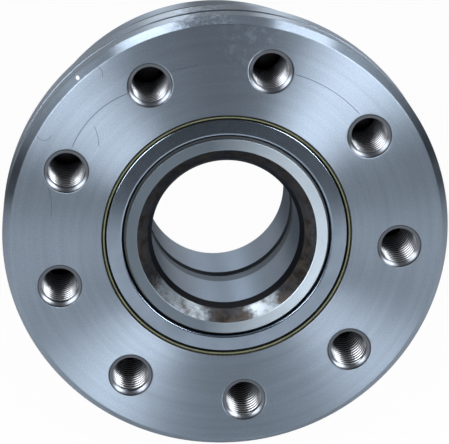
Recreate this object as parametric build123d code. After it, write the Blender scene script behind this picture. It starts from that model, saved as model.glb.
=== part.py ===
from build123d import *
import os
from math import atan, cos, radians, sin, sqrt, tan

# A flanged hub bearing with two rows of tapered rollers set back to back. The spin axis is Y.
# The flange face lies at Y = 0 and faces -Y, so Y is the depth behind it. Sizes are millimetres.

# Flange and body of the outer ring
flange_radius = 90.0
flange_thickness = 25.8
rim_chamfer_radial = 2.96
rim_chamfer_depth = 3.5
rim_groove_centre = 13.3
rim_groove_width = 2.8
rim_groove_floor = 1.6
rim_groove_depth = 1.6
body_front_radius = 85.4
body_rear_radius = 81.6
flange_root_fillet = 2.4
tail_radius = 80.7
tail_length = 13.8
tail_step_length = 2.0
rear_overhang = 1.0
edge_chamfer = 1.0
edge_break = 0.4

# Nine blind tapped holes in the flange, drilled out to the major radius of an M18 thread
bolt_count = 9
bolt_circle_radius = 70.0
bolt_phase = 35.7
thread_radius = 9.0
hole_depth = 42.0
drill_point_angle = 118.0

# Inner rings, which meet at half the width of the unit
axle_bore_radius = 30.0
inner_ring_width = 41.4
shoulder_radius = 40.6
face_chamfer = 4.64
lead_in_radial = 1.64
lead_in_length = 3.2
small_rib_height = 1.4
undercut_depth = 0.5
undercut_width = 1.2

# Coupling ring in a recess across the joint of the inner rings
recess_half_width = 6.1
recess_depth = 1.5
coupling_width = 8.0
coupling_setback = 0.4
coupling_clearance = 0.1

# Tapered rollers
roller_count = 16
roller_pitch_radius = 43.3
roller_large_radius = 5.9
roller_length = 22.0
roller_tilt = 11.5
roller_setback = 12.5
raceway_clearance = 0.14
rib_clearance = 0.15
small_end_clearance = 0.5
raceway_overrun = 1.5
mid_land_radius = 43.6

# Pressed cages
cage_offset = 1.0
cage_thickness = 1.2
cage_large_rim = 3.0
cage_small_rim = 1.2
cage_inward_flange = 2.6
pocket_clearance = 0.3

# Seals
seal_seat_radius = 50.1
seal_recess = 1.1
seal_case_depth = 7.9
seal_case_thickness = 0.8
seal_case_bend = 0.4
seal_case_return = 2.1
seal_gap = 1.4
bead_thickness = 1.3
bead_length = 7.5
bead_stand_out = 0.4
seal_fit = 0.04
slinger_thickness = 0.75
slinger_start = 2.2
slinger_flange_depth = 8.6
slinger_flange_gap = 0.6
lip_thickness = 1.0
lip_clearance = 0.2

# Depths of the outer ring's rear end, which stands past the rear inner ring
hub_length = 2 * inner_ring_width + rear_overhang
tail_start = hub_length - tail_length
body_taper_end = tail_start - tail_step_length

# Cone geometry shared by the rollers, raceways and cages: all cones meet at one apex on the axis
tilt = radians(roller_tilt)
apex_distance = roller_pitch_radius / sin(tilt)
half_taper = atan(roller_large_radius / apex_distance)
apex_depth = roller_setback + roller_pitch_radius / tan(tilt)
roller_small_radius = (apex_distance - roller_length) * tan(half_taper)
outer_slope = tan(tilt + half_taper)
inner_slope = tan(tilt - half_taper)
roller_step = 360 / roller_count
case_outer_radius = seal_seat_radius - bead_thickness
case_inner_radius = shoulder_radius + seal_gap


def outer_raceway(depth):
    """Radius of the outer raceway of the front row at a depth."""
    return (apex_depth - depth) * outer_slope + raceway_clearance / cos(tilt + half_taper)


def inner_raceway(depth):
    """Radius of the inner raceway of the front row at a depth."""
    return (apex_depth - depth) * inner_slope - raceway_clearance / cos(tilt - half_taper)


def on_roller(along, across):
    """Radius and depth of a point `along` a roller from its large end and `across` it, outwards."""
    radius = roller_pitch_radius - along * sin(tilt) + across * cos(tilt)
    depth = roller_setback + along * cos(tilt) + across * sin(tilt)
    return radius, depth


def end_plane_depth(along, radius):
    """Depth at a radius of the plane square to a roller's axis at `along`."""
    across = (radius - roller_pitch_radius + along * sin(tilt)) / cos(tilt)
    return on_roller(along, across)[1]


def raceway_corner(along):
    """Radius and depth where the inner raceway meets the plane square to a roller at `along`."""
    axis_depth = end_plane_depth(along, 0)
    radius = inner_raceway(axis_depth) / (1 + tan(tilt) * inner_slope)
    return radius, end_plane_depth(along, radius)


def section(points):
    """The flat section of a ring, from its (radius, depth) points."""
    return make_face(Polyline(*points, close=True))


def turned(points):
    """A ring turned about the spin axis from (radius, depth) points."""
    return revolve(section(points), Axis.Y)


def mirrored(shape):
    """The same shape at the other end of the unit."""
    return mirror(shape, Plane((0, inner_ring_width, 0), z_dir=(0, 1, 0)))


def turned_to(shape, angle):
    """A shape turned about the spin axis, counted from +X towards +Z."""
    return Rot(0, -angle, 0) * shape


def tapped_hole():
    """One hole with its drill point, opening at the flange face."""
    point_depth = thread_radius / tan(radians(drill_point_angle / 2))
    outline = [(0, 0), (thread_radius, 0), (thread_radius, hole_depth), (0, hole_depth + point_depth)]
    return Pos(bolt_circle_radius, 0, 0) * turned(outline)


def outer_ring():
    """Forged ring with its grooved flange, tapering body and machined tail."""
    raceway_start = on_roller(0, roller_large_radius)[1] - raceway_overrun
    raceway_radius = outer_raceway(raceway_start)
    raceway_end = apex_depth - (mid_land_radius - raceway_clearance / cos(tilt + half_taper)) / outer_slope
    seat_end = raceway_start - (seal_seat_radius - raceway_radius)
    bore = [
        (seal_seat_radius, edge_break),
        (seal_seat_radius, seat_end),
        (raceway_radius, raceway_start),
        (mid_land_radius, raceway_end),
    ]
    rear_bore = [(radius, 2 * inner_ring_width - depth) for radius, depth in reversed(bore[1:])]
    groove_floor_radius = flange_radius - rim_groove_depth
    flange_root = (body_front_radius, flange_thickness)
    outside = [
        (seal_seat_radius, hub_length - edge_break),
        (seal_seat_radius + edge_break, hub_length),
        (tail_radius - edge_chamfer, hub_length),
        (tail_radius, hub_length - edge_chamfer),
        (tail_radius, tail_start),
        (body_rear_radius, body_taper_end),
        flange_root,
        (flange_radius - edge_chamfer, flange_thickness),
        (flange_radius, flange_thickness - edge_chamfer),
        (flange_radius, rim_groove_centre + rim_groove_width / 2),
        (groove_floor_radius, rim_groove_centre + rim_groove_floor / 2),
        (groove_floor_radius, rim_groove_centre - rim_groove_floor / 2),
        (flange_radius, rim_groove_centre - rim_groove_width / 2),
        (flange_radius, rim_chamfer_depth),
        (flange_radius - rim_chamfer_radial, 0),
        (seal_seat_radius + edge_break, 0),
    ]
    outline = section(bore + rear_bore + outside)
    root = outline.vertices().sort_by_distance(flange_root)[0]
    ring = revolve(fillet(root, flange_root_fillet), Axis.Y)
    for index in range(bolt_count):
        ring -= turned_to(tapped_hole(), bolt_phase + index * 360 / bolt_count)
    return ring


def inner_ring():
    """Front inner ring: its stained face chamfer, shoulder, raceway between two ribs and recess."""
    rib_root = raceway_corner(-rib_clearance)[0] - undercut_depth
    undercut_start = end_plane_depth(-rib_clearance, rib_root)
    undercut_end = undercut_start + undercut_width
    small_end = roller_length + small_end_clearance
    small_rib_radius = raceway_corner(small_end)[0] + small_rib_height
    recess_start = inner_ring_width - recess_half_width
    recess_radius = axle_bore_radius + recess_depth
    lead_in_radius = axle_bore_radius + lead_in_radial
    return turned([
        (lead_in_radius + face_chamfer, 0),
        (shoulder_radius - edge_break, 0),
        (shoulder_radius, edge_break),
        (shoulder_radius, end_plane_depth(-rib_clearance, shoulder_radius)),
        (rib_root, undercut_start),
        (rib_root, undercut_end),
        (inner_raceway(undercut_end), undercut_end),
        raceway_corner(small_end),
        (small_rib_radius, end_plane_depth(small_end, small_rib_radius)),
        (small_rib_radius, inner_ring_width),
        (recess_radius, inner_ring_width),
        (recess_radius, recess_start),
        (axle_bore_radius, recess_start),
        (axle_bore_radius, face_chamfer + lead_in_length),
        (lead_in_radius, face_chamfer),
    ])


def coupling_ring():
    """Ring that locks the inner rings together: it bears on their recess and stays clear of the axle."""
    start = inner_ring_width - recess_half_width + coupling_clearance
    inside = axle_bore_radius + coupling_setback
    outside = axle_bore_radius + recess_depth - coupling_clearance
    end = start + coupling_width
    return turned([(inside, start), (outside, start), (outside, end), (inside, end)])


def roller():
    """One tapered roller of the front row, at angle zero."""
    standing = (Align.CENTER, Align.CENTER, Align.MIN)
    frustum = Cone(roller_large_radius, roller_small_radius, roller_length, align=standing)
    seat = Plane((roller_pitch_radius, roller_setback, 0), x_dir=(0, 0, 1), z_dir=(-sin(tilt), cos(tilt), 0))
    return seat * frustum


def pocket():
    """The window of one roller: a tapering slot through the cage's cone."""
    seat = Plane((roller_pitch_radius, roller_setback, 0), x_dir=(0, 0, -1), z_dir=(cos(tilt), sin(tilt), 0))
    large_half = sqrt(roller_large_radius**2 - cage_offset**2) + pocket_clearance
    small_half = sqrt(roller_small_radius**2 - cage_offset**2) + pocket_clearance
    near = -pocket_clearance
    far = roller_length + pocket_clearance
    slot = Polyline((-large_half, near), (large_half, near), (small_half, far), (-small_half, far), close=True)
    return seat * extrude(make_face(slot), cage_offset + 2 * cage_thickness)


def cage():
    """Pressed cage of the front row: a cone with one pocket per roller and an inward flange."""
    outside = cage_offset + cage_thickness
    flange_near = roller_length + cage_small_rim
    flange_far = flange_near + cage_thickness
    shell = turned([
        on_roller(-cage_large_rim, cage_offset),
        on_roller(-cage_large_rim, outside),
        on_roller(flange_far, outside),
        on_roller(flange_far, -cage_inward_flange),
        on_roller(flange_near, -cage_inward_flange),
        on_roller(flange_near, cage_offset),
    ])
    for index in range(roller_count):
        shell -= turned_to(pocket(), index * roller_step)
    return shell


def seal_case():
    """Stamped case with its bent outer edge and its inner edge rolled back."""
    front = seal_recess
    inside = front + seal_case_thickness
    back = front + seal_case_depth
    return turned([
        (case_outer_radius, back),
        (case_outer_radius, front + seal_case_bend),
        (case_outer_radius - seal_case_bend, front),
        (case_inner_radius + seal_case_bend, front),
        (case_inner_radius, front + seal_case_bend),
        (case_inner_radius, front + seal_case_return),
        (case_inner_radius + seal_case_thickness, front + seal_case_return),
        (case_inner_radius + seal_case_thickness, inside),
        (case_outer_radius - seal_case_thickness, inside),
        (case_outer_radius - seal_case_thickness, back),
    ])


def seal_bead():
    """Static sealing bead between the case and its seat in the outer ring."""
    front = seal_recess - bead_stand_out
    inside = case_outer_radius + seal_fit
    outside = seal_seat_radius - seal_fit
    back = front + bead_length
    return turned([
        (inside, front + edge_break),
        (inside + edge_break, front),
        (outside - edge_break, front),
        (outside, front + edge_break),
        (outside, back),
        (inside, back),
    ])


def slinger():
    """L-shaped ring pressed on the inner ring's shoulder, behind the case."""
    inside = shoulder_radius + seal_fit
    sleeve = inside + slinger_thickness
    flange = case_outer_radius - seal_case_thickness - slinger_flange_gap
    near = slinger_flange_depth - slinger_thickness
    return turned([
        (inside, slinger_start),
        (sleeve, slinger_start),
        (sleeve, near),
        (flange, near),
        (flange, slinger_flange_depth),
        (inside, slinger_flange_depth),
    ])


def seal_lip():
    """Rubber element bonded inside the case, with a lip that runs on the slinger's sleeve."""
    sleeve = shoulder_radius + seal_fit + slinger_thickness
    back = seal_recess + seal_case_thickness + seal_fit
    clear_of_return = seal_recess + seal_case_return + seal_fit
    inner_web = case_inner_radius + seal_case_thickness + seal_fit
    outer_web = case_outer_radius - seal_case_thickness - seal_fit
    tip = clear_of_return + lip_thickness
    return turned([
        (inner_web, back),
        (outer_web, back),
        (outer_web, back + lip_thickness),
        (inner_web + lip_thickness, back + lip_thickness),
        (sleeve + lip_clearance, tip + lip_thickness),
        (sleeve + lip_clearance, tip),
        (inner_web, clear_of_return),
    ])


def write(shape, name):
    """Writes one piece as parts/NAME.step."""
    export_step(shape, "parts/" + name + ".step")


def write_pair(shape, name):
    """Writes a piece of the front end and its mirror image at the rear end."""
    write(shape, "front_" + name)
    write(mirrored(shape), "rear_" + name)


def write_rollers():
    """Writes both rows of rollers, numbered from +X towards +Z."""
    front = roller()
    rear = mirrored(front)
    for index in range(roller_count):
        angle = index * roller_step
        number = "_roller_" + str(index + 1).zfill(2)
        write(turned_to(front, angle), "front" + number)
        write(turned_to(rear, angle), "rear" + number)


os.makedirs("parts", exist_ok=True)
write(outer_ring(), "outer_ring")
write(coupling_ring(), "coupling_ring")
write_pair(inner_ring(), "inner_ring")
write_pair(cage(), "cage")
write_pair(seal_case(), "seal_case")
write_pair(seal_bead(), "seal_bead")
write_pair(seal_lip(), "seal_lip")
write_pair(slinger(), "slinger")
write_rollers()
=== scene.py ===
from math import pi, radians

import bpy
import numpy as np
from bpy.props import FloatProperty, FloatVectorProperty, IntProperty, PointerProperty
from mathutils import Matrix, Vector


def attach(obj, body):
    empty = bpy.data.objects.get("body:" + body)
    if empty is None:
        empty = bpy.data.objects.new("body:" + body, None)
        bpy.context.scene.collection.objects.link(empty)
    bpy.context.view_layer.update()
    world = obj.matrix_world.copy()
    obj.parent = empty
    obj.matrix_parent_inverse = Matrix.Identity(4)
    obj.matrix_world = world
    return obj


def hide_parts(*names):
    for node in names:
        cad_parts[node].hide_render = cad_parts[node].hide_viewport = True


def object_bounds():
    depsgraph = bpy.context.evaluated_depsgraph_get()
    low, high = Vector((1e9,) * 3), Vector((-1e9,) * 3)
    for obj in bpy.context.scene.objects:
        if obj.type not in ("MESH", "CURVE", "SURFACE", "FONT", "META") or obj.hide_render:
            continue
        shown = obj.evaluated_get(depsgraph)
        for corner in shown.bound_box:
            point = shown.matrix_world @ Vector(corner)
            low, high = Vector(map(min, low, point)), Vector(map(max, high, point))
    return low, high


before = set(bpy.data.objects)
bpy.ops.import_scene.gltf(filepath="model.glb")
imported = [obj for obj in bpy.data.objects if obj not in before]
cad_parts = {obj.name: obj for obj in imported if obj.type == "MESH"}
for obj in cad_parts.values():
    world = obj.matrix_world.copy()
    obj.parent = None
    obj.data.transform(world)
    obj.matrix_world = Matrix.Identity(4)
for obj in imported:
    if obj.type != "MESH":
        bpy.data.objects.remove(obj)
cad_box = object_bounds()

bl_info = {
    "name": "Flanged wheel hub bearing",
    "version": (1, 0, 0),
    "blender": (4, 5, 0),
    "location": "3D View > Sidebar > Hub bearing",
    "description": "Dresses a flanged double-row roller hub unit in turned, ground and forged steel",
    "category": "Object",
}

# All lengths are metres. The spin axis is Y, the flange face lies at Y = 0 and faces -Y, and the
# depth behind it grows with Y. A profile is a list of (radius, depth) corners in millimetres.
MM = 0.001


class HubSizes(bpy.types.PropertyGroup):
    """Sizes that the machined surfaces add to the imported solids"""

    columns_per_hole: IntProperty(
        name="Columns per hole", description="Grid columns of the flange between two hole centres",
        default=24, min=8)
    thread_pitch: FloatProperty(
        name="Thread pitch", description="Distance from one thread crest to the next",
        default=2.5 * MM, unit="LENGTH")
    thread_crest_radius: FloatProperty(
        name="Thread crest radius", description="Radius of the tapped hole at the thread crests",
        default=7.25 * MM, unit="LENGTH")
    thread_root_radius: FloatProperty(
        name="Thread root radius", description="Radius of the tapped hole at the thread roots",
        default=8.6 * MM, unit="LENGTH")
    edge_radius: FloatProperty(
        name="Edge radius", description="Rounding of every machined edge",
        default=0.18 * MM, unit="LENGTH")


class HubFinishes(bpy.types.PropertyGroup):
    """Colours of the bare and coated surfaces"""

    turned_steel: FloatVectorProperty(
        name="Turned steel", description="Colour of the turned flange and rim",
        default=(0.30, 0.365, 0.45), subtype="COLOR")
    ground_steel: FloatVectorProperty(
        name="Ground steel", description="Colour of the ground ring faces and bore",
        default=(0.33, 0.385, 0.44), subtype="COLOR")
    forged_skin: FloatVectorProperty(
        name="Forged skin", description="Colour of the dark forged body behind the flange",
        default=(0.045, 0.047, 0.052), subtype="COLOR")
    stain: FloatVectorProperty(
        name="Stain", description="Colour of the brown oxide on the rough-turned chamfer",
        default=(0.112, 0.098, 0.089), subtype="COLOR")
    olive_bead: FloatVectorProperty(
        name="Olive bead", description="Colour of the static sealing bead",
        default=(0.104, 0.116, 0.064), subtype="COLOR")


# Corners of the turned profiles
# The rim stays a hair inside the solid's 90 mm, so that no facet passes its box.
RIM_RADIUS = 89.97
FLANGE_FACE_EDGE = 87.04
BOLT_CIRCLE = 70.0
HOLE_COUNT = 9
HOLE_PHASE = 35.7
HOLE_RADIUS = 9.0
HOLE_DEPTH = 42.0
THREAD_END = 37.0
DRILL_POINT = 4.6
# Depth of the countersink for each unit of its width
COUNTERSINK_SLOPE = 0.66
# Rows of the thread's grid in one pitch, and turns past its end that let the slanted rows reach it
ROWS_PER_PITCH = 4
SPARE_TURNS = 5
# Where the rows of the flange face lie, from the sector's edge (1) to the hole's mouth (0)
FACE_ROWS = (1, 0.985, 0.9, 0.6, 0.3, 0.1, 0.02, 0)
UNIT_WIDTH = 82.8
OUTER_RING_PROFILE = [
    (50.5, 0), (50.1, 0.4), (50.1, 11.5), (49.56, 12.18), (43.6, 37.95),
    (43.6, 44.85), (49.56, 70.62), (50.1, 71.3), (50.1, 83.4), (50.5, 83.8),
    (79.7, 83.8), (80.7, 82.8), (80.7, 70.0), (81.6, 68.0), (85.19, 28.1),
    (85.36, 27.2), (85.9, 26.4), (86.6, 25.93), (87.5, 25.8), (89.0, 25.8),
    (RIM_RADIUS, 24.8), (RIM_RADIUS, 14.7), (88.4, 14.1), (88.4, 12.5),
    (RIM_RADIUS, 11.9), (RIM_RADIUS, 3.5), (FLANGE_FACE_EDGE, 0)]
INNER_RING_PROFILE = [
    (36.28, 0), (40.5, 0), (40.6, 0.1), (40.6, 11.8), (36.6, 10.99),
    (36.6, 12.19), (37.24, 12.19), (33.37, 33.5), (34.8, 33.8), (34.8, 41.4),
    (31.5, 41.4), (31.5, 35.3), (30.0, 35.3), (30.0, 7.84), (31.64, 4.64)]
COUPLING_RING_PROFILE = [(30.4, 35.4), (31.4, 35.4), (31.4, 43.4), (30.4, 43.4)]
SEAL_CASE_PROFILE = [
    (48.8, 9.0), (48.8, 2.0), (48.45, 0.85), (48.2, 0.7), (42.9, 0.38), (42.4, 0.5), (42.0, 1.0),
    (42.0, 3.2), (42.8, 3.2), (42.8, 1.9), (48.0, 2.6), (48.0, 9.0)]
SEAL_BEAD_PROFILE = [
    (48.84, 8.2), (48.84, 3.0), (49.1, 0.6), (49.28, 0.12), (49.75, 0.12), (49.86, 0.6),
    (50.06, 3.0), (50.06, 8.2)]

# Fine marks on the flange face: centre, radius, first and last angle in degrees, and half width
SCRATCHES = [
    ((-26.0, 24.2), 38.1, 108, 160, 0.22), ((3.6, -23.6), 95.7, 99, 106, 0.10),
    ((11.3, 13.7), 55.0, 40, 75, 0.22), ((-66.0, 40.1), 15.1, -6, 28, 0.16),
    ((-72.2, 44.4), 2.9, -175, -15, 0.13), ((-53.0, 67.4), 4.2, -15, 60, 0.14),
    ((-95.0, 15.0), 25.0, -12, 18, 0.10), ((60.0, 40.0), 20.0, 25, 48, 0.10)]
# A nick on the rim's chamfer, painted as a near-white spot that is a painted glint, and smudges of dried
# coolant on the face and the rim: place, radius
NICK_GLINT = ((-58.6, 66.2), 0.95)
SMUDGE = ((9.0, 79.0), 15.0)
RIM_SMUDGE = ((-10.0, 88.0), 15.0)
# Places at the bottom of the inner rings' chamfer that are bare metal, partly wear and partly a painted
# highlight where the lamps' highlights fall: heading in degrees and half width
WORN_AND_LIT_PLACES = ((234, 28), (297, 17))

# Lamps: name, place and size in metres, and power in watts
LAMPS = (
    ("right_light", (0.69, -0.98, 0.42), (0.42, 0.62), 11.5),
    ("left_light", (-0.74, -0.98, 0.41), (0.54, 0.66), 11.4),
    ("overhead_left", (-0.51, -0.17, 1.23), (0.50, 0.48), 4.9),
    ("overhead_right", (0.68, -0.13, 1.20), (0.30, 0.48), 3.6),
    ("rear_left", (-0.17, 1.10, 0.66), (0.20, 0.36), 0.65),
    ("rear_right", (0.33, 1.06, 0.66), (0.20, 0.36), 0.65))
FLOOR_GAP = 0.0006
FLOOR_HALF_SIZE = 6.0
# Share of the floor that glows white to the camera; the rest takes the part's shadow
FLOOR_GLOW = 0.975
SENSOR_WIDTH = 36.0
# A focal length of 2197 pixels in a picture 449 pixels wide
FOCAL_LENGTH = SENSOR_WIDTH * 2197 / 449
CAMERA_PLACE = (-0.06284, -0.84050, 0.25854)
CAMERA_VIEW = (0.0702, 0.9555, -0.2865)


def smoothed(corners, radius, steps=5):
    """Rounds every corner of a closed profile, all corners at once.

    Each corner becomes the quadratic curve (1-s)^2 A + 2s(1-s) C + s^2 B between the points A and B
    one radius before and after the corner C, with one more point beside each end of the curve so
    that the flats next to it shade flat.
    """
    here = np.array(corners, float) * MM
    before, after = np.roll(here, 1, 0) - here, np.roll(here, -1, 0) - here
    length_before = np.linalg.norm(before, axis=1, keepdims=True)
    length_after = np.linalg.norm(after, axis=1, keepdims=True)
    before, after = before / length_before, after / length_after
    cut = np.broadcast_to(np.reshape(radius, (-1, 1)), length_before.shape)
    cut = np.minimum(cut, 0.4 * np.minimum(length_before, length_after))
    margin_before = np.minimum(cut, 0.2 * (length_before - cut))
    margin_after = np.minimum(cut, 0.2 * (length_after - cut))
    start, end = here + before * cut, here + after * cut
    s = np.linspace(0, 1, steps)[None, :, None]
    curve = (1 - s) ** 2 * start[:, None] + 2 * s * (1 - s) * here[:, None] + s**2 * end[:, None]
    first = (start + before * margin_before)[:, None]
    last = (end + after * margin_after)[:, None]
    return np.concatenate([first, curve, last], axis=1).reshape(-1, 2)


def grid_faces(rows, columns, close_rows=False):
    """Quads of a grid whose columns close round, and whose rows close too where that is asked."""
    row = np.arange(rows if close_rows else rows - 1)[:, None]
    column = np.arange(columns)[None, :]
    below, beside = (row + 1) % rows, (column + 1) % columns
    top, bottom = row * columns, below * columns
    corners = np.broadcast_arrays(top + column, top + beside, bottom + beside, bottom + column)
    return np.stack(corners, axis=-1).reshape(-1, 4)


def spun(profile, angles):
    """Grid of a profile spun about Y: the point (r, y) at angle a is (r cos a, y, r sin a)."""
    radius, depth = profile[:, 0, None], profile[:, 1, None]
    x, z = radius * np.cos(angles), radius * np.sin(angles)
    return np.stack([x, np.broadcast_to(depth, x.shape), z], axis=-1)


def welded(vertices, faces, *values):
    """Joins vertices that share a place, to a tenth of a micrometre, with the values they carry."""
    _, keep, index = np.unique(np.round(vertices, 7), axis=0, return_index=True, return_inverse=True)
    return (vertices[keep], index.reshape(-1)[faces]) + tuple(value[keep] for value in values)


def without_repeats(faces):
    """Splits quads into those with four corners and those that a repeated corner makes triangles."""
    same = faces == np.roll(faces, -1, axis=1)
    once = same.sum(axis=1) == 1
    return faces[~same.any(axis=1)], faces[once][~same[once]].reshape(-1, 3)


def outward(vertices, faces):
    """Turns the faces of a closed surface outwards, by the sign of its volume."""
    a, b, c, d = (vertices[faces[:, k]] for k in range(4))
    volume = np.einsum("ij,ij->", a, np.cross(b, c)) + np.einsum("ij,ij->", a, np.cross(c, d))
    return faces if volume > 0 else faces[:, ::-1]


def add_piece(name, vertices, faces, materials, regions, body, node, roots=None):
    """Puts a surface into the scene as a piece that replaces its solid and rides on its body."""
    quads, triangles = without_repeats(outward(vertices, faces))
    mesh = bpy.data.meshes.new(name)
    mesh.from_pydata(vertices.tolist(), [], quads.tolist() + triangles.tolist())
    mesh.polygons.foreach_set("use_smooth", np.ones(len(mesh.polygons), bool))
    for item in materials:
        mesh.materials.append(item)
    centres = np.concatenate([vertices[quads].mean(axis=1), vertices[triangles].mean(axis=1)])
    radius = np.hypot(centres[:, 0], centres[:, 2]) / MM
    mesh.polygons.foreach_set("material_index", regions(radius, centres[:, 1] / MM).astype(np.int32))
    if roots is not None:
        mesh.attributes.new("thread_root", "FLOAT", "POINT").data.foreach_set("value", roots)
    mesh.update()
    mesh.set_sharp_from_angle(angle=radians(35))
    piece = bpy.data.objects.new(name, mesh)
    bpy.context.scene.collection.objects.link(piece)
    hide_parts(node)
    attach(piece, body)


def one_region(radius, depth):
    """Every face takes the first material."""
    return np.zeros(len(radius))


def add_ring(name, profile, edge_radius, materials, regions, body, columns=288):
    """Adds a closed turned ring that replaces the node of its own name."""
    loop = smoothed(profile, edge_radius)
    angles = np.arange(columns) * 2 * pi / columns
    vertices = spun(loop, angles).reshape(-1, 3)
    faces = grid_faces(len(loop), columns, close_rows=True)
    node = name.removesuffix("_finished")
    add_piece(name, vertices, faces, materials, regions, body, node)


def rear_of(profile):
    """The mirror image of a front profile at the rear end."""
    return [(radius, UNIT_WIDTH - depth) for radius, depth in profile]


def sector_edge(inner, outer, sizes):
    """Points round the edge of one sector of the flange face, with each one's heading from the hole."""
    half = pi / HOLE_COUNT
    across = np.linspace(-half, half, sizes.columns_per_hole + 1)
    side = np.linspace(inner, outer, 15)[1:-1]
    angle = np.concatenate([across, np.full(len(side), half),
                            across[::-1], np.full(len(side), -half)])
    radius = np.concatenate([np.full(len(across), inner), side,
                             np.full(len(across), outer), side[::-1]])
    edge = np.stack([radius * np.cos(angle), radius * np.sin(angle)], axis=-1)
    heading = np.arctan2(edge[:, 1], edge[:, 0] - BOLT_CIRCLE * MM)
    return edge, np.unwrap(heading)


def thread_grid(heading, start, sizes):
    """Depths, radii and thread values of a right-hand internal thread, in rows that follow the helix.

    A row's depth grows by one pitch over one clockwise turn. Each pitch has four rows: the crest is
    flat over a quarter of the pitch and the root over an eighth, with 30 degree flanks between. Rows
    beyond either end of the thread collapse onto that end, and the roots grow to their full depth
    over the first 0.3 of a pitch. The value is 1 in the roots and 0 on the crests.
    """
    pitch, end = sizes.thread_pitch, THREAD_END * MM
    turns = np.arange(int(end / pitch) + SPARE_TURNS)[:, None]
    base = (turns + np.array([-1 / 8, 1 / 8, 7 / 16, 9 / 16])).reshape(-1, 1) * pitch - 1.5 * pitch
    root = np.tile([0.0, 0.0, 1.0, 1.0], len(turns))[:, None]
    depth = np.clip(base + (heading[0] - heading) / (2 * pi) * pitch, start, end)
    root = root * np.clip((depth - start) / (0.3 * pitch), 0, 1) * (depth < end)
    radius = sizes.thread_crest_radius + root * (sizes.thread_root_radius - sizes.thread_crest_radius)
    return depth, radius, root


def helix_faces(rows, columns, rows_per_turn):
    """Quads of a grid whose last column meets the first one a turn further down."""
    row, column = np.arange(rows - 1 - rows_per_turn)[:, None], np.arange(columns)[None, :]
    beside, shift = (column + 1) % columns, np.where(column == columns - 1, rows_per_turn, 0)
    left, right = row * columns + column, (row + shift) * columns + beside
    return np.stack([left, right, right + columns, left + columns], axis=-1).reshape(-1, 4)


def flange_sector(inner, outer, sizes):
    """Flat places, depths, faces and thread values of one sector of the face with its tapped hole.

    Each column runs straight from a point of the sector's edge to the hole's mouth in the same
    direction from the hole's centre, down the countersink and the thread, and ends in the drill's point.
    The thread value goes from -1 at the mouth to -2 at the countersink's end.
    """
    edge, heading = sector_edge(inner, outer, sizes)
    centre = np.array([BOLT_CIRCLE * MM, 0])
    direction = np.stack([np.cos(heading), np.sin(heading)], axis=-1)
    mouth = centre + HOLE_RADIUS * MM * direction
    share = np.array(FACE_ROWS)[:, None, None]
    face = mouth + (edge - mouth) * share
    start = (HOLE_RADIUS * MM - sizes.thread_crest_radius) * COUNTERSINK_SLOPE
    depth, radius, root = thread_grid(heading, start, sizes)
    thread = centre + radius[..., None] * direction
    countersink = np.stack([mouth, centre + sizes.thread_crest_radius * direction])
    drilled = centre + np.array([1, 1, 0])[:, None, None] * sizes.thread_crest_radius * direction
    bottom = np.array([THREAD_END, HOLE_DEPTH, HOLE_DEPTH + DRILL_POINT]) * MM
    columns = len(heading)
    flat = np.concatenate([face, countersink, thread, drilled]).reshape(-1, 2)
    above = np.repeat(np.append(np.zeros(len(face) + 1), start)[:, None], columns, axis=1)
    depths = np.concatenate([above, depth, np.repeat(bottom[:, None], columns, axis=1)])
    values = np.repeat(np.append(np.full(len(face) + 1, -1.0), -2.0)[:, None], columns, axis=1)
    roots = np.concatenate([values, root, np.zeros((3, columns))])
    faces = np.concatenate([
        grid_faces(len(face), columns),
        grid_faces(2, columns) + len(face) * columns,
        helix_faces(len(depth), columns, ROWS_PER_PITCH) + (len(face) + 2) * columns,
        grid_faces(3, columns) + (len(face) + 2 + len(depth)) * columns])
    return flat, depths.reshape(-1), faces, roots.reshape(-1)


def flange_holes(inner, outer, sizes):
    """Vertices, faces and thread values of the whole flange face: one sector turned to each hole."""
    flat, depths, faces, roots = flange_sector(inner, outer, sizes)
    turn = radians(HOLE_PHASE) + np.arange(HOLE_COUNT)[:, None] * 2 * pi / HOLE_COUNT
    x = flat[:, 0] * np.cos(turn) - flat[:, 1] * np.sin(turn)
    z = flat[:, 0] * np.sin(turn) + flat[:, 1] * np.cos(turn)
    vertices = np.stack([x, np.broadcast_to(depths, x.shape), z], axis=-1).reshape(-1, 3)
    offsets = np.arange(HOLE_COUNT)[:, None, None] * len(flat)
    return vertices, (faces + offsets).reshape(-1, 4), np.tile(roots, HOLE_COUNT)


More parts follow.
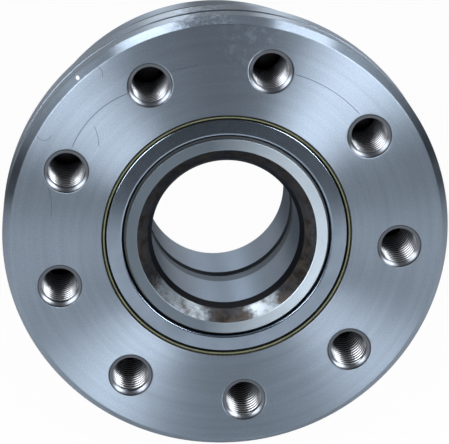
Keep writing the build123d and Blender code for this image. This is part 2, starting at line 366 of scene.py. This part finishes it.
class Finish:
    """One material, built node by node around a Principled shader."""

    def __init__(self, name, **values):
        self.material = bpy.data.materials.new(name)
        self.material.use_nodes = True
        self.tree = self.material.node_tree
        self.shader = self.tree.nodes["Principled BSDF"]
        self.set(self.shader, values)
        place = self.add("ShaderNodeTexCoord")
        split = self.add("ShaderNodeSeparateXYZ", Vector=place.outputs["Object"])
        self.x, self.depth, self.z = split.outputs
        self.place = place.outputs["Object"]
        self.radius = self.maths("SQRT", self.maths("ADD", self.maths("MULTIPLY", self.x, self.x),
                                                    self.maths("MULTIPLY", self.z, self.z)))

    def set(self, node, values):
        """Gives each named input a value or a link."""
        for key, value in values.items():
            socket = node.inputs[key.replace("_", " ")]
            if isinstance(value, bpy.types.NodeSocket):
                self.tree.links.new(value, socket)
            elif socket.type == "RGBA" and len(value) == 3:
                socket.default_value = (*value, 1)
            else:
                socket.default_value = value

    def add(self, kind, options=None, **values):
        """Adds a node, with its options and its inputs."""
        node = self.tree.nodes.new(kind)
        for key, value in (options or {}).items():
            setattr(node, key, value)
        self.set(node, values)
        return node

    def maths(self, operation, a, b=0.0):
        """Output of one Math node."""
        node = self.add("ShaderNodeMath", {"operation": operation})
        for socket, value in zip(node.inputs, (a, b)):
            if isinstance(value, bpy.types.NodeSocket):
                self.tree.links.new(value, socket)
            else:
                socket.default_value = value
        return node.outputs[0]

    def lathe_place(self, across, around):
        """Place for a pattern that runs round the spin axis: fine across the cut, long around it."""
        slanted = self.maths("ADD", self.radius, self.maths("MULTIPLY", self.depth, 1.7))
        cut = self.maths("MULTIPLY", slanted, across)
        cosine = self.maths("MULTIPLY", self.maths("DIVIDE", self.x, self.radius), around)
        sine = self.maths("MULTIPLY", self.maths("DIVIDE", self.z, self.radius), around)
        return self.add("ShaderNodeCombineXYZ", X=cut, Y=cosine, Z=sine).outputs[0]

    def noise(self, place, scale, detail=4.0, rough=0.55, distortion=0.0):
        """A noise value from 0 to 1."""
        node = self.add("ShaderNodeTexNoise", Vector=place, Scale=scale, Detail=detail,
                        Roughness=rough, Distortion=distortion)
        return node.outputs["Fac"]

    def span(self, value, low, high, to_low, to_high):
        """Maps a value from one range to another, clamped."""
        node = self.add("ShaderNodeMapRange", {"clamp": True}, Value=value)
        for key, number in zip(("From Min", "From Max", "To Min", "To Max"), (low, high, to_low, to_high)):
            node.inputs[key].default_value = number
        return node.outputs["Result"]

    def mixed(self, share, first, second):
        """Mixes two colours by a share."""
        node = self.add("ShaderNodeMix", {"data_type": "RGBA"})
        node.inputs["Factor"].default_value = 0
        self.tree.links.new(share, node.inputs["Factor"])
        for socket, value in ((node.inputs[6], first), (node.inputs[7], second)):
            if isinstance(value, bpy.types.NodeSocket):
                self.tree.links.new(value, socket)
            else:
                socket.default_value = (*value, 1)
        return node.outputs[2]

    def bump(self, height, distance, strength=1.0, below=None):
        """Adds a bump on top of any other."""
        node = self.add("ShaderNodeBump", Height=height, Distance=distance, Strength=strength)
        if below is not None:
            self.tree.links.new(below, node.inputs["Normal"])
        return node.outputs["Normal"]

    def spin_tangent(self):
        """Stretches highlights across the turning marks."""
        tangent = self.add("ShaderNodeTangent", {"direction_type": "RADIAL", "axis": "Y"})
        self.tree.links.new(tangent.outputs[0], self.shader.inputs["Tangent"])

    def wear(self, **values):
        """Sets inputs of the shader itself and returns the material."""
        self.set(self.shader, values)
        return self.material


def shade(colour, factor):
    """A colour made lighter or darker."""
    return tuple(min(1.0, channel * factor) for channel in colour)


def turned_steel(name, colour, rough=0.40, marks=0.5):
    """Turned steel: concentric cuts, faint rings of tone, cloudy stains and a highlight across the cuts."""
    finish = Finish(name, Metallic=1.0, Anisotropic=0.98, Anisotropic_Rotation=0.25)
    finish.spin_tangent()
    cuts = finish.noise(finish.lathe_place(2600, 2.2), 1.0, detail=4.0, rough=0.7)
    bands = finish.noise(finish.lathe_place(420, 1.2), 1.0, detail=3.0)
    grain = finish.noise(finish.place, 1500.0, detail=3.0, rough=0.7)
    cloud = finish.noise(finish.place, 24.0, detail=5.0)
    tone = finish.mixed(finish.span(bands, 0.3, 0.7, 0, 1), shade(colour, 0.94), shade(colour, 1.08))
    grained = finish.mixed(finish.span(grain, 0.42, 0.72, 0, 0.5), tone, shade(colour, 0.66))
    stained = finish.mixed(finish.span(cloud, 0.45, 0.75, 0, 0.3), grained, shade(colour, 0.78))
    normal = finish.bump(cuts, 0.00002, marks)
    roughness = finish.span(cuts, 0.3, 0.7, rough - 0.05, rough + 0.06)
    return finish, finish.wear(Base_Color=stained, Roughness=roughness, Normal=normal)


def tapped_thread(colour, mouth):
    """Cut thread: bright crests, roots and most of each flank near black with oil and painted shade, darker
    with painted shade the deeper it goes, and a banded countersink.
    """
    finish = Finish("tapped_thread", Metallic=1.0)
    root = finish.add("ShaderNodeAttribute", {"attribute_type": "GEOMETRY", "attribute_name": "thread_root"})
    place = root.outputs["Fac"]
    grain = finish.noise(finish.place, 900.0, detail=4.0, rough=0.7)
    # Near black for the roots and most of each flank: oil, and painted shade standing for the shade in the
    # thread's grooves
    oil_and_shade = (0.010, 0.0085, 0.009)
    oiled_and_shaded = finish.mixed(finish.span(place, 0.10, 0.22, 0, 1), colour, oil_and_shade)
    worn = finish.mixed(finish.span(grain, 0.5, 0.75, 0, 0.2), oiled_and_shaded, shade(colour, 0.6))
    # Painted shade: the thread darkens towards near black the deeper it lies in the hole
    deep_shaded = finish.mixed(finish.span(finish.depth, 0.020, 0.042, 0, 0.8), worn, shade(oil_and_shade, 8.0))
    banded = finish.mixed(finish.span(place, -1.4, -1.15, 1, 0.25), (0.02, 0.02, 0.02), mouth)
    countersink = finish.span(place, -0.98, -0.9, 1, 0)
    return finish.wear(Base_Color=finish.mixed(countersink, deep_shaded, banded),
                       Roughness=finish.span(grain, 0.3, 0.7, 0.278, 0.30),
                       Normal=finish.bump(grain, 0.00001, 0.05))


def ground_steel(name, colour, rough=0.36, side_shade=0.0):
    """Ground steel: fine satin grain and a little cloudiness, and painted shade that darkens the -X side and
    fades towards +X.
    """
    finish = Finish(name, Metallic=1.0, Anisotropic=0.3)
    finish.spin_tangent()
    grain = finish.noise(finish.place, 1500.0, detail=3.0, rough=0.7)
    lay = finish.noise(finish.lathe_place(5000, 6.0), 1.0, detail=3.0)
    cloud = finish.noise(finish.place, 40.0, detail=4.0)
    tone = finish.mixed(finish.span(cloud, 0.35, 0.7, 0, 1), shade(colour, 0.94), shade(colour, 1.06))
    speckled = finish.mixed(finish.span(grain, 0.35, 0.7, 0, 0.3), tone, shade(colour, 0.7))
    # Painted shade: the -X side takes a darker blue-grey that fades out towards +X, as if the light came
    # from the right
    patchy = finish.maths("ADD", finish.x, finish.maths("MULTIPLY", cloud, 0.012))
    side_shaded = finish.mixed(finish.span(patchy, -0.002, 0.036, side_shade, 0), speckled, (0.105, 0.137, 0.170))
    normal = finish.bump(lay, 0.00001, 0.35, finish.bump(grain, 0.00001, 0.4))
    return finish.wear(Base_Color=side_shaded, Roughness=finish.span(grain, 0.3, 0.7, rough, rough + 0.1),
                       Normal=normal)


def stained_chamfer(colour, stain):
    """Rough-turned chamfer: brown and black oxide, streaked round the axis, worn to metal in places, and two
    bare places at the bottom that are partly wear and partly a painted highlight.
    """
    finish = Finish("stained_chamfer", Metallic=1.0)
    cuts = finish.noise(finish.lathe_place(3200, 2.5), 1.0, detail=3.0, rough=0.7)
    patch = finish.noise(finish.place, 240.0, detail=6.0, rough=0.65, distortion=0.6)
    smear = finish.noise(finish.lathe_place(420, 5.0), 1.0, detail=5.0, rough=0.6)
    both = finish.maths("MULTIPLY", finish.maths("ADD", patch, smear), 0.5)
    # Bare metal at the bottom of the chamfer: partly wear, partly a painted highlight where the lamps
    # reflect
    places = [beside(finish, *place) for place in WORN_AND_LIT_PLACES]
    bared_and_lit = finish.maths("MULTIPLY", finish.maths("MAXIMUM", *places), 0.24)
    worn = finish.span(finish.maths("ADD", bared_and_lit, both), 0.60, 0.80, 0, 0.95)
    brown = finish.mixed(finish.span(patch, 0.40, 0.62, 0, 1), shade(stain, 0.80), shade(stain, 0.36))
    cold = finish.mixed(finish.span(smear, 0.42, 0.58, 0, 0.7), brown, (0.075, 0.084, 0.10))
    surface = finish.mixed(worn, cold, shade(colour, 1.3))
    normal = finish.bump(cuts, 0.00005, 0.6, finish.bump(patch, 0.0001, 0.2))
    return finish.wear(Base_Color=surface, Roughness=finish.span(both, 0.4, 0.62, 0.46, 0.3), Normal=normal)


def beside(finish, heading, half_width):
    """1 at one heading round the spin axis, falling to 0 at a half width from it, in degrees."""
    middle = radians(heading)
    along = finish.maths("ADD", finish.maths("MULTIPLY", finish.x, np.cos(middle)),
                         finish.maths("MULTIPLY", finish.z, np.sin(middle)))
    cosine = finish.maths("DIVIDE", along, finish.radius)
    return finish.span(cosine, np.cos(radians(half_width)), np.cos(radians(0.5 * half_width)), 0, 1)


def near_spot(finish, centre, radius):
    """1 at a place of the flange's plane, falling to 0 at a radius from it, in millimetres."""
    far = distance(finish, centre)
    return finish.span(far, 0.4 * radius * MM, radius * MM, 1, 0)


def distance(finish, centre):
    """Distance in the flange's plane from a place in millimetres."""
    x = finish.maths("SUBTRACT", finish.x, centre[0] * MM)
    z = finish.maths("SUBTRACT", finish.z, centre[1] * MM)
    squares = finish.maths("ADD", finish.maths("MULTIPLY", x, x), finish.maths("MULTIPLY", z, z))
    return finish.maths("SQRT", squares)


def forged_skin(colour):
    """Dark forged skin: scale, pitting and dusty high spots."""
    finish = Finish("forged_skin", Metallic=0.55)
    scale = finish.noise(finish.place, 420.0, detail=6.0, rough=0.65)
    cloud = finish.noise(finish.place, 35.0, detail=4.0)
    tone = finish.mixed(finish.span(cloud, 0.35, 0.7, 0, 1), shade(colour, 0.75), shade(colour, 1.6))
    dusted = finish.mixed(finish.span(scale, 0.55, 0.8, 0, 0.5), tone, shade(colour, 2.6))
    return finish.wear(Base_Color=dusted, Roughness=finish.span(scale, 0.3, 0.7, 0.5, 0.75),
                       Normal=finish.bump(scale, 0.00025, 0.6))


def pressed_steel(name, colour, rough=0.42):
    """Pressed steel sheet: fine grain with scattered bright specks."""
    finish = Finish(name, Metallic=1.0)
    grain = finish.noise(finish.place, 2200.0, detail=4.0, rough=0.75)
    cloud = finish.noise(finish.place, 60.0, detail=4.0)
    tone = finish.mixed(finish.span(cloud, 0.3, 0.7, 0, 1), shade(colour, 0.85), shade(colour, 1.15))
    specks = finish.mixed(finish.span(grain, 0.56, 0.72, 0, 0.25), tone, shade(colour, 1.4))
    return finish.wear(Base_Color=specks, Roughness=finish.span(grain, 0.3, 0.7, rough, rough + 0.06),
                       Normal=finish.bump(grain, 0.00001, 0.12))


def moulded_rubber(name, colour):
    """Moulded rubber: matt, with a faint mottle and mould grain."""
    finish = Finish(name, Metallic=0.0)
    mottle = finish.noise(finish.place, 300.0, detail=4.0)
    tone = finish.mixed(finish.span(mottle, 0.3, 0.7, 0, 1), shade(colour, 0.75), shade(colour, 1.25))
    return finish.wear(Base_Color=tone, Roughness=finish.span(mottle, 0.3, 0.7, 0.38, 0.55),
                       Normal=finish.bump(mottle, 0.00003, 0.4))


def arc(finish, centre, radius, start, end, width):
    """A thin scratched arc: 1 on a circle of the flange's plane, between two angles in degrees."""
    x = finish.maths("SUBTRACT", finish.x, centre[0] * MM)
    z = finish.maths("SUBTRACT", finish.z, centre[1] * MM)
    off = finish.maths("ABSOLUTE", finish.maths("SUBTRACT", distance(finish, centre), radius * MM))
    line = finish.span(off, 0.3 * width * MM, width * MM, 1, 0)
    middle, reach = radians((start + end) / 2), radians((end - start) / 2)
    sideways = finish.maths("SUBTRACT", finish.maths("MULTIPLY", z, np.cos(middle)),
                            finish.maths("MULTIPLY", x, np.sin(middle)))
    forwards = finish.maths("ADD", finish.maths("MULTIPLY", x, np.cos(middle)),
                            finish.maths("MULTIPLY", z, np.sin(middle)))
    turned = finish.maths("ARCTAN2", sideways, forwards)
    inside = finish.span(finish.maths("ABSOLUTE", turned), 0.85 * reach, reach, 1, 0)
    return finish.maths("MULTIPLY", line, inside)


def flange_face(colour):
    """The turned flange face, with scribed lines between the holes and a few fine scratches."""
    finish, material = turned_steel("turned_flange_face", colour)
    marks = None
    for place in SCRATCHES:
        mark = arc(finish, *place)
        marks = mark if marks is None else finish.maths("MAXIMUM", marks, mark)
    clean = finish.shader.inputs["Base Color"].links[0].from_socket
    spots = finish.noise(finish.place, 260.0, detail=5.0, rough=0.7)
    speckle = finish.span(spots, 0.5, 0.62, 0, 0.5)
    smudge = finish.maths("MULTIPLY", near_spot(finish, *SMUDGE), speckle)
    dried = finish.mixed(smudge, clean, shade(colour, 1.7))
    finish.wear(Base_Color=finish.mixed(finish.maths("MULTIPLY", marks, 0.8), dried, shade(colour, 0.12)))
    return material


def nicked_rim(colour):
    """The turned rim with one nick on its chamfer, painted near white as a painted glint, and a smudge of
    dried coolant.
    """
    finish, material = turned_steel("turned_rim", colour, marks=0.3)
    clean = finish.shader.inputs["Base Color"].links[0].from_socket
    spots = finish.noise(finish.place, 420.0, detail=5.0, rough=0.75)
    speckle = finish.span(spots, 0.48, 0.62, 0, 0.8)
    smudge = finish.maths("MULTIPLY", near_spot(finish, *RIM_SMUDGE), speckle)
    dried = finish.mixed(smudge, clean, shade(colour, 2.2))
    # Painted glint: the nick is a near-white non-metal spot
    nick_glint = near_spot(finish, *NICK_GLINT)
    finish.wear(Base_Color=finish.mixed(nick_glint, dried, (0.95, 0.95, 0.95)),
                Metallic=finish.maths("SUBTRACT", 1.0, nick_glint),
                Roughness=finish.span(speckle, 0.0, 0.8, 0.276, 0.30))
    return material


class HUB_OT_outer_ring(bpy.types.Operator):
    """Builds the flanged outer ring with its nine tapped holes"""

    bl_idname = "hub.outer_ring"
    bl_label = "Outer ring"

    def execute(self, context):
        sizes, colours = context.scene.hub_sizes, context.scene.hub_finishes
        edges = np.full(len(OUTER_RING_PROFILE), sizes.edge_radius)
        edges[-1] *= 1.4
        loop = smoothed(OUTER_RING_PROFILE, edges)
        count = HOLE_COUNT * sizes.columns_per_hole
        angles = radians(HOLE_PHASE) - pi / HOLE_COUNT + np.arange(count) * 2 * pi / count
        body = spun(loop, angles).reshape(-1, 3)
        face, face_quads, roots = flange_holes(loop[0, 0], loop[-1, 0], sizes)
        body_quads = grid_faces(len(loop), count)[:, ::-1]
        vertices = np.concatenate([body, face])
        faces = np.concatenate([body_quads, face_quads + len(body)])
        vertices, faces, roots = welded(vertices, faces, np.concatenate([np.zeros(len(body)), roots]))
        steel = tuple(colours.turned_steel)
        materials = [
            flange_face(steel),
            nicked_rim(steel),
            forged_skin(tuple(colours.forged_skin)),
            tapped_thread((0.42, 0.44, 0.475), (0.14, 0.155, 0.18)),
            # Painted shade: the rim's groove and its rear edge take a darker copy of the turned steel
            turned_steel("groove_shade", shade(steel, 0.68), rough=0.4)[1],
            ground_steel("raceways", (0.45, 0.47, 0.50), 0.2),
            # Painted shade: the seat edge beside the sealing bead is near black for the shade in the gap
            # between the parts
            moulded_rubber("seat_edge_shade", (0.012, 0.012, 0.013)),
            turned_steel("turned_tail", shade(steel, 0.85), rough=0.34, marks=0.4)[1],
        ]

        def regions(radius, depth):
            """Face, rim, forged body, threads, groove and rear edge in painted shade, raceways, seat edge in
            painted shade, and tail, by radius and depth.
            """
            hole = (depth > 0.02) & (depth < HOLE_DEPTH + 5) & (radius > 56) & (radius < 80)
            groove = (radius > 88) & (depth > 11.8) & (depth < 14.8)
            edge = (radius < 50.5) & (depth < 0.5)
            inside = radius < 50.12
            tail = (radius > 50.12) & (depth > 68.2)
            forged = (radius > 80) & (radius < 89) & (depth > 25.9)
            # The rear edge takes the groove's painted shade
            rear_edge_shade = (radius > 88.9) & (depth > 24.7) & (depth < 26)
            rim = (radius > FLANGE_FACE_EDGE + 0.02) & (depth < 26)
            return np.select([hole, groove | rear_edge_shade, edge, inside, tail, forged, rim],
                             [3, 4, 6, 5, 7, 2, 1], 0)

        add_piece("outer_ring_machined", vertices, faces, materials, regions, "hub", "outer_ring",
                  roots)
        return {"FINISHED"}


class HUB_OT_inner_rings(bpy.types.Operator):
    """Builds both inner rings and the coupling ring in their bore"""

    bl_idname = "hub.inner_rings"
    bl_label = "Inner rings"

    def execute(self, context):
        sizes, colours = context.scene.hub_sizes, context.scene.hub_finishes
        steel = tuple(colours.ground_steel)
        # The ring's faces take the painted shade of the -X side at 0.90
        ground = ground_steel("ground_ring", shade(steel, 1.95), side_shade=0.90)
        bore = ground_steel("ground_bore", (0.262, 0.355, 0.48), 0.33)
        chamfer = stained_chamfer(steel, tuple(colours.stain))
        lead_in = ground_steel("lead_in", (0.055, 0.057, 0.063), 0.4)
        # Painted shade: the recess takes a copy of the ring's steel at a fifth of its brightness
        recess_shade = ground_steel("recess_shade", shade(steel, 0.2), 0.5)

        def regions(radius, depth):
            """Ring, bore, face chamfer, lead-in cone, and the recess in painted shade."""
            end = np.minimum(depth, UNIT_WIDTH - depth)
            chamfered = (radius < 36.2) & (radius > 31.7) & (end < 4.7)
            leading = (radius < 31.7) & (end < 7.9)
            bored = (radius < 30.4) & (end >= 7.9)
            recessed = (radius < 31.6) & (end > 35.2)
            return np.select([chamfered, leading, recessed, bored], [2, 3, 4, 1], 0)

        materials = [ground, bore, chamfer, lead_in, recess_shade]
        add_ring("front_inner_ring_finished", INNER_RING_PROFILE, sizes.edge_radius, materials, regions,
                 "inner")
        add_ring("rear_inner_ring_finished", rear_of(INNER_RING_PROFILE), sizes.edge_radius, materials,
                 regions, "inner")
        add_ring("coupling_ring_finished", COUPLING_RING_PROFILE, sizes.edge_radius,
                 [ground_steel("coupling_steel", (0.085, 0.128, 0.18), 0.4)], one_region, "inner")
        return {"FINISHED"}


class HUB_OT_seals(bpy.types.Operator):
    """Builds the seal cases and their olive sealing beads, and finishes the lips and slingers"""

    bl_idname = "hub.seals"
    bl_label = "Seals"

    def execute(self, context):
        sizes, colours = context.scene.hub_sizes, context.scene.hub_finishes
        case = pressed_steel("pressed_seal_case", (0.255, 0.315, 0.395), 0.15)
        bead = moulded_rubber("sealing_bead", tuple(colours.olive_bead))
        # Painted shade: the case's outer shoulder and the bead's sides inside the gap take a near-black
        # colour
        gap_shade = moulded_rubber("painted_gap_shade", (0.008, 0.008, 0.008))
        for end, placed in (("front", list), ("rear", rear_of)):
            add_ring(end + "_seal_case_finished", placed(SEAL_CASE_PROFILE), 0.15 * MM, [case, gap_shade],
                     lambda radius, depth: radius > 48.4, "hub")
            add_ring(end + "_seal_bead_finished", placed(SEAL_BEAD_PROFILE), 0.15 * MM, [bead, gap_shade],
                     lambda radius, depth: np.minimum(depth, UNIT_WIDTH - depth) > 0.4, "hub")
            dress(end + "_seal_lip", moulded_rubber(end + "_lip_rubber", (0.02, 0.02, 0.021)))
            dress(end + "_slinger", pressed_steel(end + "_slinger_steel", (0.10, 0.105, 0.11)))
        return {"FINISHED"}


def dress(node, material):
    """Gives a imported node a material."""
    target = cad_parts[node]
    target.data.materials.clear()
    target.data.materials.append(material)


class HUB_OT_rolling_set(bpy.types.Operator):
    """Finishes the cages and the tapered rollers"""

    bl_idname = "hub.rolling_set"
    bl_label = "Cages and rollers"

    def execute(self, context):
        cage = pressed_steel("cage_steel", (0.33, 0.34, 0.36))
        roller = ground_steel("roller_steel", (0.62, 0.64, 0.67), 0.15)
        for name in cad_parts:
            if name.endswith("_cage"):
                dress(name, cage)
            elif "_roller_" in name:
                dress(name, roller)
        return {"FINISHED"}


class HUB_OT_stage(bpy.types.Operator):
    """Sets up the pale floor, the soft studio light and the camera"""

    bl_idname = "hub.stage"
    bl_label = "Stage"

    def execute(self, context):
        add_floor()
        light_world()
        for lamp in LAMPS:
            add_lamp(*lamp)
        add_camera()
        return {"FINISHED"}


def add_floor():
    """A floor under the lowest point: pale beside the part, and white to the camera but for its shadow."""
    level, half = cad_box[0].z - FLOOR_GAP, FLOOR_HALF_SIZE
    mesh = bpy.data.meshes.new("floor")
    corners = [(-half, -half, level), (half, -half, level), (half, half, level), (-half, half, level)]
    mesh.from_pydata(corners, [], [(0, 1, 2, 3)])
    floor = bpy.data.objects.new("floor", mesh)
    bpy.context.scene.collection.objects.link(floor)
    finish = Finish("pale_floor", Roughness=0.7)
    in_front = finish.span(finish.depth, -0.37, -0.31, 0, 1)
    behind = finish.span(finish.depth, 0.06, 0.22, 1, 0)
    finish.wear(Base_Color=finish.mixed(finish.maths("MULTIPLY", in_front, behind), (0.08, 0.08, 0.08),
                                        (0.72, 0.72, 0.72)))
    seen = seen_directly(finish, finish.span(finish.depth, 0.9, 1.7, 0, 1))
    glow = finish.add("ShaderNodeEmission", Color=(1.0, 1.0, 1.0), Strength=1.0)
    blend = finish.add("ShaderNodeMixShader")
    share = finish.maths("MULTIPLY", seen, FLOOR_GLOW)
    finish.tree.links.new(share, blend.inputs[0])
    finish.tree.links.new(finish.shader.outputs[0], blend.inputs[1])
    finish.tree.links.new(glow.outputs[0], blend.inputs[2])
    finish.tree.links.new(blend.outputs[0], finish.tree.nodes["Material Output"].inputs["Surface"])
    mesh.materials.append(finish.material)


def seen_directly(finish, backdrop):
    """1 for camera rays, and on the backdrop for glossy and transmission rays too, otherwise 0."""
    path = finish.add("ShaderNodeLightPath")
    both = finish.maths("MAXIMUM", path.outputs["Is Glossy Ray"], path.outputs["Is Transmission Ray"])
    return finish.maths("MAXIMUM", path.outputs["Is Camera Ray"], finish.maths("MULTIPLY", both, backdrop))


def light_world():
    """A white backdrop behind the part and a dimmer room in front of it."""
    world = bpy.data.worlds.new("studio")
    bpy.context.scene.world = world
    world.use_nodes = True
    tree = world.node_tree
    background = tree.nodes["Background"]

    def maths(operation, a, b):
        """Output of one Math node of the world."""
        node = tree.nodes.new("ShaderNodeMath")
        node.operation = operation
        for socket, value in zip(node.inputs, (a, b)):
            if isinstance(value, bpy.types.NodeSocket):
                tree.links.new(value, socket)
            else:
                socket.default_value = value
        return node.outputs[0]

    place = tree.nodes.new("ShaderNodeTexCoord")
    split = tree.nodes.new("ShaderNodeSeparateXYZ")
    tree.links.new(place.outputs["Generated"], split.inputs[0])
    path = tree.nodes.new("ShaderNodeLightPath")
    behind = tree.nodes.new("ShaderNodeMapRange")
    tree.links.new(split.outputs["Y"], behind.inputs["Value"])
    behind.inputs["From Min"].default_value = 0.89
    behind.inputs["From Max"].default_value = 0.95
    behind.inputs["To Max"].default_value = 0.8
    above = tree.nodes.new("ShaderNodeMapRange")
    tree.links.new(split.outputs["Z"], above.inputs["Value"])
    above.inputs["From Min"].default_value = 0.55
    above.inputs["From Max"].default_value = 0.95
    above.inputs["To Min"].default_value = 0.035
    above.inputs["To Max"].default_value = 0.5
    level = maths("MAXIMUM", behind.outputs["Result"], above.outputs["Result"])
    direct = maths("MAXIMUM", level, path.outputs["Is Camera Ray"])
    tree.links.new(direct, background.inputs["Strength"])
    background.inputs["Color"].default_value = (1, 1, 1, 1)


def add_lamp(name, place, size, power):
    """A soft box that points at the middle of the part."""
    lamp = bpy.data.lights.new(name, "AREA")
    lamp.shape = "RECTANGLE"
    lamp.size, lamp.size_y = size
    lamp.energy = power
    box = bpy.data.objects.new(name, lamp)
    box.location = place
    aim = Vector((0, UNIT_WIDTH / 2 * MM, 0)) - Vector(place)
    box.rotation_euler = aim.to_track_quat("-Z", "Y").to_euler()
    bpy.context.scene.collection.objects.link(box)


def add_camera():
    """The camera stands a little left of the spin axis and looks down at it."""
    data = bpy.data.cameras.new("camera")
    data.sensor_width = SENSOR_WIDTH
    data.lens = FOCAL_LENGTH
    camera = bpy.data.objects.new("camera", data)
    camera.location = CAMERA_PLACE
    camera.rotation_euler = Vector(CAMERA_VIEW).to_track_quat("-Z", "Y").to_euler()
    bpy.context.scene.collection.objects.link(camera)
    bpy.context.scene.camera = camera
    bpy.context.scene.view_settings.view_transform = "Standard"


OPERATORS = (HUB_OT_outer_ring, HUB_OT_inner_rings, HUB_OT_seals, HUB_OT_rolling_set, HUB_OT_stage)


class HUB_PT_panel(bpy.types.Panel):
    """Lists the steps that build the hub bearing"""

    bl_idname = "HUB_PT_panel"
    bl_label = "Hub bearing"
    bl_space_type = "VIEW_3D"
    bl_region_type = "UI"
    bl_category = "Hub bearing"

    def draw(self, context):
        for step in OPERATORS:
            self.layout.operator(step.bl_idname)
        for name in ("thread_pitch", "thread_crest_radius", "thread_root_radius", "edge_radius",
                     "columns_per_hole"):
            self.layout.prop(context.scene.hub_sizes, name)
        for name in ("turned_steel", "ground_steel", "forged_skin", "stain", "olive_bead"):
            self.layout.prop(context.scene.hub_finishes, name)


CLASSES = (HubSizes, HubFinishes) + OPERATORS + (HUB_PT_panel,)


def register():
    """Registers the classes and puts their settings on the scene."""
    for item in CLASSES:
        bpy.utils.register_class(item)
    bpy.types.Scene.hub_sizes = PointerProperty(type=HubSizes)
    bpy.types.Scene.hub_finishes = PointerProperty(type=HubFinishes)


def unregister():
    """Takes the settings and the classes away again."""
    del bpy.types.Scene.hub_finishes
    del bpy.types.Scene.hub_sizes
    for item in reversed(CLASSES):
        bpy.utils.unregister_class(item)


def main():
    """Builds the part and its stage."""
    register()
    bpy.ops.hub.outer_ring()
    bpy.ops.hub.inner_rings()
    bpy.ops.hub.seals()
    bpy.ops.hub.rolling_set()
    bpy.ops.hub.stage()


if __name__ == "__main__":
    main()
